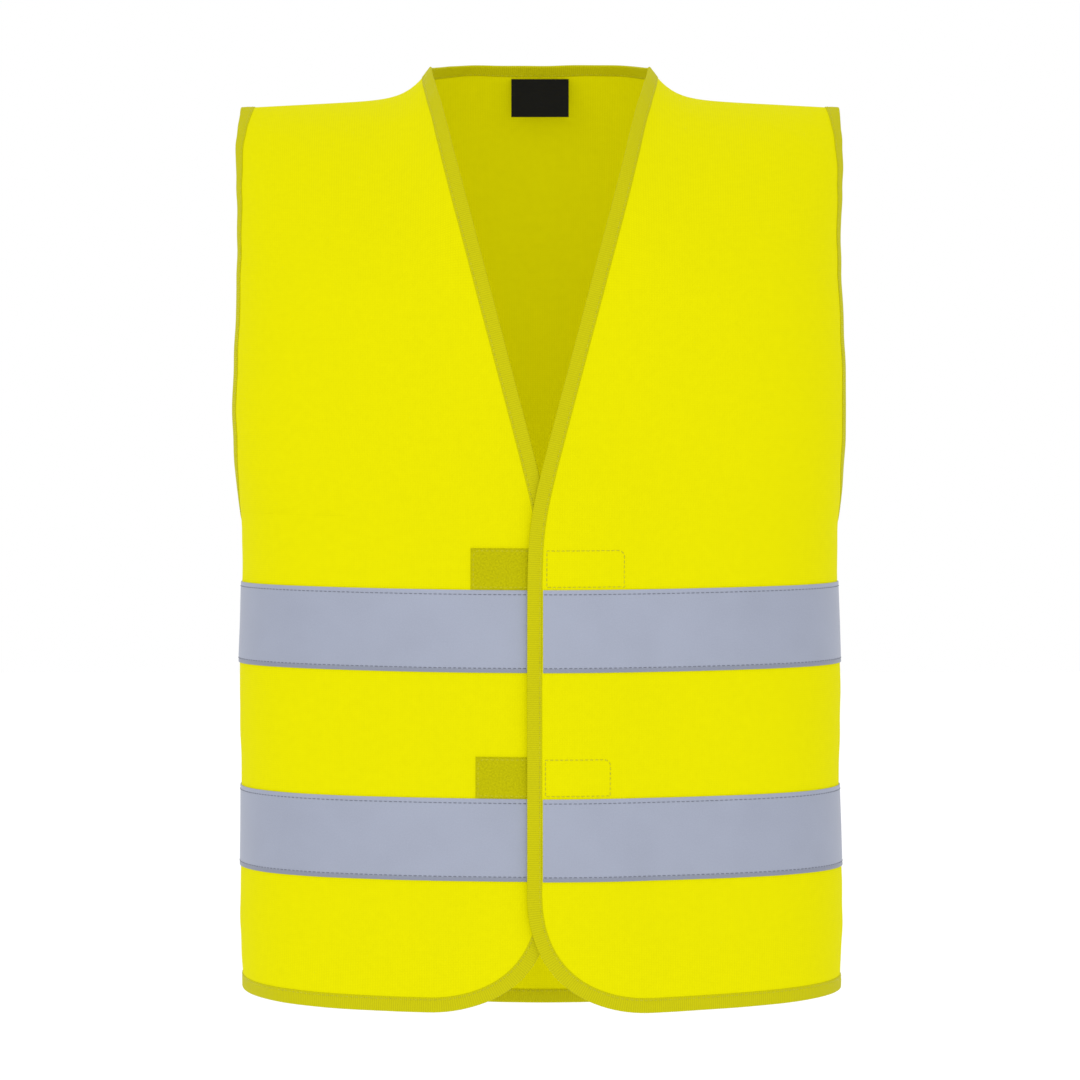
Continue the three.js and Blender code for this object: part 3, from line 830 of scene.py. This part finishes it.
def panel_rows(low, high, bends):
    """Row heights, closer together where an edge starts to turn."""
    rows = [spread(low, high)] + [bend[(bend > low) & (bend < high)] for bend in bends]
    rows = np.unique(np.round(np.concatenate(rows), 3))
    return rows[np.concatenate([[True], np.diff(rows) > 0.25])]


BENDS = [quarter_steps(0, CORNER_HEIGHT), quarter_steps(UNDERARM, ARMHOLE_ROUND)]
FRONT_TOP = FRONT_CHEST + SHOULDER_RUN - 0.15
BACK_TOP = BACK_CHEST + SHOULDER_RUN - 0.15


def armhole_path(side, hand):
    climb = np.concatenate([
        quarter_steps(UNDERARM, ARMHOLE_ROUND, 20),
        spread(UNDERARM + ARMHOLE_ROUND, FRONT_TOP if side == FRONT else BACK_TOP, 6)[1:],
    ])
    turn = hand * armhole_turn(climb)
    return edge_path(side, turn, climb, 0.6 * turn, climb - 20, start="down", end="row", hand=-hand)


def front_paths(hand):
    """A front's whole edge, from the side seam along the hem, round the corner and up to the neck point.

    It is shared out at the cut, where both stretches have the same section.
    """
    corner = float(front_edge_turn(0.0))
    hem_turn = bend_steps(corner, SEAM, 80)[:0:-1]
    rise = [quarter_steps(0, CORNER_HEIGHT, 30), spread(CORNER_HEIGHT, FRONT_CHEST, 6)[1:]]
    lower_count = len(hem_turn) + sum(len(part) for part in rise)
    edge_climb = np.concatenate([*rise, spread(FRONT_CHEST, FRONT_TOP, NECK_STEP)[1:]])
    climb = np.concatenate([np.zeros_like(hem_turn), edge_climb])
    turn = hand * np.concatenate([hem_turn, front_edge_turn(edge_climb)])
    inside_turn = hand * np.maximum(np.abs(turn) + 0.3, turn_at(CREASE + 20.0, 150.0))
    inside_climb = np.maximum(climb, 60.0)
    whole = edge_path(FRONT, turn, climb, inside_turn, inside_climb, start="up", end="row", hand=hand)
    lower = {key: values[:lower_count] for key, values in whole.items()}
    upper = {key: values[lower_count - 1 :] for key, values in whole.items()}
    return lower, upper


def back_neck_path():
    reach = turn_at(float(NECK_HALF_WIDTH), BACK_TOP)
    turn = reach * np.sin(np.linspace(-QUARTER, QUARTER, 61))
    climb = neckline_climb(turn)
    path = edge_path(BACK, turn, climb, turn * 0.98, climb - 30)
    width = binding_width()
    for k, hand in ((0, RIGHT), (-1, LEFT)):
        point, _, per_turn, _ = surface_frame(BACK, turn[k], climb[k])
        target = point + hand * unit(per_turn) * width
        path["inner_turn"][k] = nearest_spot(BACK, turn[k], climb[k], target, True)[0]
        path["inner_climb"][k] = climb[k]
    return path


def back_hem_path():
    turn = np.linspace(-SEAM, SEAM, 91)
    climb = np.zeros_like(turn)
    return edge_path(BACK, turn, climb, turn, climb + 30, start="up", end="up")


# ---------------------------------------------------------------- the cloth of the fronts and the back


def bend_steps(start, end, count):
    """Turns from start to end, closer together between set distances from the middle of the front."""
    reach = (BLEND_END - BEND_MARGIN, BLEND_START + BEND_MARGIN)
    near, far = (float(turn_at(float(x), 200.0)) for x in reach)
    turn = np.linspace(start, end, 600)
    crowd = np.where((turn > near) & (turn < far), BEND_CROWD, 1.0)
    run = np.concatenate([[0], np.cumsum(crowd[1:])])
    return np.interp(np.linspace(0, run[-1], count), run, turn)


def follow_lower(piece):
    """Bakes the transform of a piece of a front below the cut into its mesh."""
    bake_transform(piece)


def follow_upper(piece):
    """Bakes the transform of a piece of a front above the cut into its mesh."""
    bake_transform(piece)


def make_front_cloth(word, part, low, high):
    """One stretch of a front, from its free edge to the side seam and the armhole."""
    hand = HANDS[word]
    rows = panel_rows(low, high, BENDS)
    edges = zip(front_edge_turn(rows), armhole_turn(rows))
    turn = hand * np.array([bend_steps(inner, outer, FRONT_COLUMNS) for inner, outer in edges])
    climb = np.broadcast_to(rows[:, None], turn.shape)
    return cloth_piece(f"{word}_front_{part}", FRONT, turn, climb, lap=hand)


def make_back_cloth():
    """The back in one piece, up to the neckline and the shoulder seams."""
    rows = panel_rows(0, BACK_TOP, BENDS)
    neck = float(turn_at(float(NECK_HALF_WIDTH), BACK_TOP))
    start = UNDERARM + ARMHOLE_ROUND
    middle = neck * np.sin(np.linspace(-QUARTER, QUARTER, 51))
    outer = np.linspace(0, 1, 31)[1:]
    turns = []
    for climb in rows:
        arm = float(armhole_turn(np.array(climb)))
        side = mix(neck, arm, outer)
        turns.append(np.concatenate([-side[::-1], middle, side]))
    turn = np.array(turns)
    climb = np.broadcast_to(rows[:, None], turn.shape)
    share = np.clip((climb - start) / (BACK_TOP - start), 0, 1)
    climb = np.where(climb <= start, climb, mix(start, neckline_climb(turn), share))
    return cloth_piece("back_cloth", BACK, turn, climb)


# ---------------------------------------------------------------- operators


class VEST_OT_stage(bpy.types.Operator):
    """Sets the floor, the lights, the background and the camera."""

    bl_idname = "vest.stage"
    bl_label = "Stage"

    def execute(self, context):
        scene = context.scene
        low, high = CAD_BOX
        middle = (low[2] + high[2]) / 2
        floor = self.floor(low[2] - 0.9)
        self.area_light("key", (-1.6, -2.6, 0.9), 2.0, 9, middle)
        self.area_light("fill", (0.3, -3.4, -0.1), 1.4, 9, middle)
        self.area_light("top", (0.2, 0.8, 2.2), 1.6, 3, middle)
        world = bpy.data.worlds.new("white room")
        scene.world = world
        world.use_nodes = True
        world.node_tree.nodes["Background"].inputs["Color"].default_value = (1, 1, 1, 1)
        world.node_tree.nodes["Background"].inputs["Strength"].default_value = 1.0
        camera = bpy.data.objects.new("camera", bpy.data.cameras.new("camera"))
        context.collection.objects.link(camera)
        camera.location = (0, -3.0, (303 - NECK_POINT) * MM)
        camera.rotation_euler = (QUARTER, 0, 0)
        camera.data.sensor_width = 36
        camera.data.lens = 158.4
        scene.camera = camera
        scene.view_settings.view_transform = "Standard"
        return {"FINISHED"}

    def floor(self, height):
        """A wide floor, faintly lit from within so that it meets the background without a line."""
        span = 40.0
        corners = [(-span, -span, height), (span, -span, height), (span, span, height), (-span, span, height)]
        made = bpy.data.meshes.new("floor")
        made.from_pydata(corners, [], [(0, 1, 2, 3)])
        floor = bpy.data.objects.new("floor", made)
        bpy.context.collection.objects.link(floor)
        paint, _, shader, _ = new_material("matt_white_floor_paint")
        shader.inputs["Base Color"].default_value = linear_colour("FAFAFA")
        shader.inputs["Roughness"].default_value = 0.9
        shader.inputs["Emission Color"].default_value = (1, 1, 1, 1)
        shader.inputs["Emission Strength"].default_value = 0.12
        made.materials.append(paint)
        return floor

    def area_light(self, name, place, size, power, middle):
        light = bpy.data.lights.new(name, "AREA")
        light.size = size
        light.energy = power
        made = bpy.data.objects.new(name, light)
        bpy.context.collection.objects.link(made)
        made.location = place
        aim = Vector((0, 0, middle)) - Vector(place)
        made.rotation_euler = aim.to_track_quat("-Z", "Y").to_euler()


class VEST_OT_back(bpy.types.Operator):
    """Makes the back: cloth, neck and hem bindings, tapes and stitches."""

    bl_idname = "vest.back"
    bl_label = "Back"

    def execute(self, context):
        _, _, tape = sizes_in_mm()
        margin = context.scene.vest_sizes.stitch_margin / MM
        cloth = make_back_cloth()
        trims = []
        lines = []
        for name, path in (("neck", back_neck_path()), ("hem", back_hem_path())):
            made = binding_piece(f"back_{name}_binding_ribbed", path, finish_of("binding"))
            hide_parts(f"back_{name}_binding")
            trims.append(made)
            lines += binding_stitch_lines(path)
        turn = np.linspace(-SEAM, SEAM, 181)
        grey = []
        for row, low in (("lower", LOWER_TAPE), ("upper", UPPER_TAPE)):
            made = tape_piece(f"back_{row}_tape_silver", BACK, turn, low, tape)
            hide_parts(f"back_{row}_tape")
            trims.append(made)
            grey += tape_stitch_lines(BACK, turn, low, tape, margin)
        trims.append(stitch_mesh("back_binding_stitches", lines, finish_of("yellow_thread")))
        trims.append(stitch_mesh("back_tape_stitches", grey, finish_of("grey_thread")))
        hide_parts("back_panel")
        for piece in [cloth, *trims]:
            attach(piece, "vest_body")
        return {"FINISHED"}


def tape_piece(name, side, turn, low, width, lap=0):
    """A flat band of reflective tape with its own thickness, edges turned slightly down."""
    near = np.array([0, 0.4, 1.5, 2.7, 4.0])
    rows = np.concatenate([near, [width / 2], width - near[::-1]])
    dip = np.array([-0.1, 0, 0, -0.12, 0.02, 0.06, 0.02, -0.12, 0, 0, -0.1])
    climb = (low + rows)[:, None]
    full_turn, full_climb = np.broadcast_arrays(turn[None, :] if turn.ndim == 1 else turn, climb)
    lift = np.broadcast_to(TRIM_FACE + 0.35 + dip[:, None], full_turn.shape)
    outer = placed(side, full_turn, full_climb, lift, lap)
    inner = placed(side, full_turn, full_climb, 0.4, lap)
    uv = np.stack(np.broadcast_arrays(girth(side, full_turn), (full_climb - low) * MM), axis=-1)
    made = sheet_mesh(name, outer, inner, uv, finish_of("tape"))
    return made


def tape_stitch_lines(side, turn, low, width, margin, lap=0):
    return [
        surface_line(side, turn, np.full_like(turn, low + up), TRIM_FACE + 0.32, lap)
        for up in (margin, width - margin)
    ]


class VEST_OT_fronts(bpy.types.Operator):
    """Makes both fronts: cloth, bindings, tapes and stitches."""

    bl_idname = "vest.fronts"
    bl_label = "Fronts"

    def execute(self, context):
        _, binding, tape = sizes_in_mm()
        margin = context.scene.vest_sizes.stitch_margin / MM
        for word, hand in HANDS.items():
            lower = make_front_cloth(word, "cloth", 0, FRONT_CHEST)
            upper = make_front_cloth(word, "yoke", FRONT_CHEST, FRONT_TOP)
            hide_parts(f"{word}_front_flap")
            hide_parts(f"{word}_front_side")
            edge, neck = front_paths(hand)
            edging = binding_piece(f"{word}_edge_binding_ribbed", edge, finish_of("binding"), lap=hand)
            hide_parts(f"{word}_edge_binding", f"{word}_hem_binding")
            collar = binding_piece(
                f"{word}_neck_binding_ribbed", neck, finish_of("binding"), lap=hand, begun=edging["run_end"]
            )
            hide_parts(f"{word}_neck_binding")
            grey, trims = [], []
            for row, low in (("lower", LOWER_TAPE), ("upper", UPPER_TAPE)):
                inner_edge = float(front_edge(low + tape)) + binding + 0.6
                edge_turn = float(turn_at(inner_edge, low))
                turn = hand * bend_steps(edge_turn, SEAM, 121)
                band = tape_piece(f"{word}_{row}_tape_silver", FRONT, turn, low, tape, lap=hand)
                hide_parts(f"{word}_flap_{row}_tape", f"{word}_side_{row}_tape")
                trims.append(band)
                grey += tape_stitch_lines(FRONT, turn, low, tape, margin, lap=hand)
            sewn = stitch_mesh(f"{word}_tape_stitches", grey, finish_of("grey_thread"))
            lines = binding_stitch_lines(edge, hand)
            edge_sewn = stitch_mesh(f"{word}_edge_stitches", lines, finish_of("yellow_thread"))
            lines = binding_stitch_lines(neck, hand)
            neck_sewn = stitch_mesh(f"{word}_neck_stitches", lines, finish_of("yellow_thread"))
            for piece in [lower, edging, edge_sewn, sewn, *trims]:
                follow_lower(piece)
            for piece in (upper, collar, neck_sewn):
                follow_upper(piece)
        return {"FINISHED"}


class VEST_OT_armholes(bpy.types.Operator):
    """Makes the binding right round each armhole, with its stitches."""

    bl_idname = "vest.armholes"
    bl_label = "Armholes"

    def execute(self, context):
        for word, hand in HANDS.items():
            path = joined(armhole_path(FRONT, hand), reversed_path(armhole_path(BACK, hand)))
            made = binding_piece(f"{word}_armhole_binding_ribbed", path, finish_of("binding"), ring=True)
            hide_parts(f"{word}_armhole_binding")
            lines = binding_stitch_lines(path)
            sewn = stitch_mesh(f"{word}_armhole_stitches", lines, finish_of("yellow_thread"))
            for piece in (made, sewn):
                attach(piece, "vest_body")
        return {"FINISHED"}


def strip_outline(hand, low, start, end, inset, corner):
    """A stitched rectangle on a strip, with its upper outer corner rounded off."""
    left, right = start + inset, end - inset
    base, top = low + inset, low + STRIP_WIDTH - inset
    bend = [
        (right - corner + corner * math.sin(a), top - corner + corner * math.cos(a))
        for a in np.linspace(0, QUARTER, 7)
    ]
    corners = [(left, base), (left, top), *bend, (right, base), (left, base)]
    x = np.concatenate([np.linspace(a[0], b[0], 12) for a, b in zip(corners, corners[1:])])
    climb = np.concatenate([np.linspace(a[1], b[1], 12) for a, b in zip(corners, corners[1:])])
    keep = np.concatenate([[True], np.hypot(np.diff(x), np.diff(climb)) > 1e-6])
    return hand * turn_at(x[keep], climb[keep]), climb[keep]


class VEST_OT_closures(bpy.types.Operator):
    """Makes the hook and loop strips with the stitches that hold them."""

    bl_idname = "vest.closures"
    bl_label = "Closures"

    def execute(self, context):
        _, binding, tape = sizes_in_mm()
        for row, base in (("lower", LOWER_TAPE), ("upper", UPPER_TAPE)):
            low = base + tape + 0.3
            start = float(front_edge(low + STRIP_WIDTH)) + binding + 0.6
            self.strip(row, "hook", LEFT, low, start, HOOK_ENDS[row])
            self.strip(row, "loop", RIGHT, low, start, LOOP_ENDS[row])
        return {"FINISHED"}

    def strip(self, row, kind, hand, low, start, end):
        x = np.linspace(start, end, 46)[None, :]
        climb = np.linspace(low, low + STRIP_WIDTH, 27)[:, None]
        x, climb = np.broadcast_arrays(x, climb)
        turn = hand * turn_at(x, climb)
        edge = np.minimum.reduce([x - start, end - x, climb - low, low + STRIP_WIDTH - climb])
        plump = 1.0 * ease(edge / 1.2)
        ripple = 0.12 * np.sin(x * 2.3 + climb) * np.sin(climb * 2.9 - x) if kind == "loop" else 0
        high = 0.9 + (plump + ripple) * (1.0 if kind == "loop" else 0.6)
        low_face = TRIM_FACE - 0.3
        facing = -1 if kind == "hook" else 1
        outer = placed(FRONT, turn, climb, facing * high, hand)
        inner = placed(FRONT, turn, climb, facing * low_face, hand)
        uv = np.stack([x, climb], axis=-1) * MM
        made = sheet_mesh(f"{row}_{kind}_strip_sewn", outer, inner, uv, finish_of(kind))
        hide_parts(f"{row}_{kind}_strip")
        follow_lower(made)
        turn, climb = strip_outline(hand, low, start, end, 1.5, 4.0)
        lift = 0.36 if kind == "hook" else 1.75
        lines = [surface_line(FRONT, turn, climb, lift, hand)]
        sewn = stitch_mesh(f"{row}_{kind}_stitches", lines, finish_of("yellow_thread"))
        follow_lower(sewn)


class VEST_OT_label(bpy.types.Operator):
    """Makes the plain woven label that hangs inside the back of the neck."""

    bl_idname = "vest.label"
    bl_label = "Neck label"

    def execute(self, context):
        low, high = (np.array(corner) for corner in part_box("neck_label"))
        across = np.linspace(low[0], high[0], 30)[None, :]
        up = np.linspace(low[2], high[2], 20)[:, None]
        across, up = np.broadcast_arrays(across, up)
        middle = (low[1] + high[1]) / 2
        fall = (high[2] - up) / (high[2] - low[2])
        bow = -0.6 * MM * fall**2 + 0.2 * MM * np.cos(across / (12 * MM)) * fall
        front = np.stack([across, middle - 0.25 * MM + bow, up], axis=-1)
        back = np.stack([across, middle + 0.15 * MM + bow, up], axis=-1)
        uv = np.stack([across, up], axis=-1)
        made = sheet_mesh("neck_label_woven", front, back, uv, finish_of("label"))
        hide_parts("neck_label")
        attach(made, "label")
        width, length = high[0] - low[0], high[2] - low[2]
        measure(made, width * length, width, length)
        return {"FINISHED"}


class VEST_PT_tools(bpy.types.Panel):
    """Lists the vest's pieces in the sidebar."""

    bl_label = "Vest"
    bl_idname = "VEST_PT_tools"
    bl_space_type = "VIEW_3D"
    bl_region_type = "UI"
    bl_category = "Vest"

    def draw(self, context):
        for settings in (context.scene.vest_sizes, context.scene.vest_colours):
            for name in settings.__annotations__:
                self.layout.prop(settings, name)
        for operator in OPERATORS:
            self.layout.operator(operator.bl_idname)


OPERATORS = (
    VEST_OT_stage,
    VEST_OT_back,
    VEST_OT_fronts,
    VEST_OT_armholes,
    VEST_OT_closures,
    VEST_OT_label,
)
CLASSES = (VestSizes, VestColours, *OPERATORS, VEST_PT_tools)


def register():
    for cls in CLASSES:
        bpy.utils.register_class(cls)
    bpy.types.Scene.vest_sizes = bpy.props.PointerProperty(type=VestSizes)
    bpy.types.Scene.vest_colours = bpy.props.PointerProperty(type=VestColours)


def unregister():
    del bpy.types.Scene.vest_colours
    del bpy.types.Scene.vest_sizes
    for cls in reversed(CLASSES):
        bpy.utils.unregister_class(cls)


def main():
    register()
    bpy.ops.vest.stage()
    bpy.ops.vest.back()
    bpy.ops.vest.fronts()
    bpy.ops.vest.armholes()
    bpy.ops.vest.closures()
    bpy.ops.vest.label()


if __name__ == "__main__":
    main()
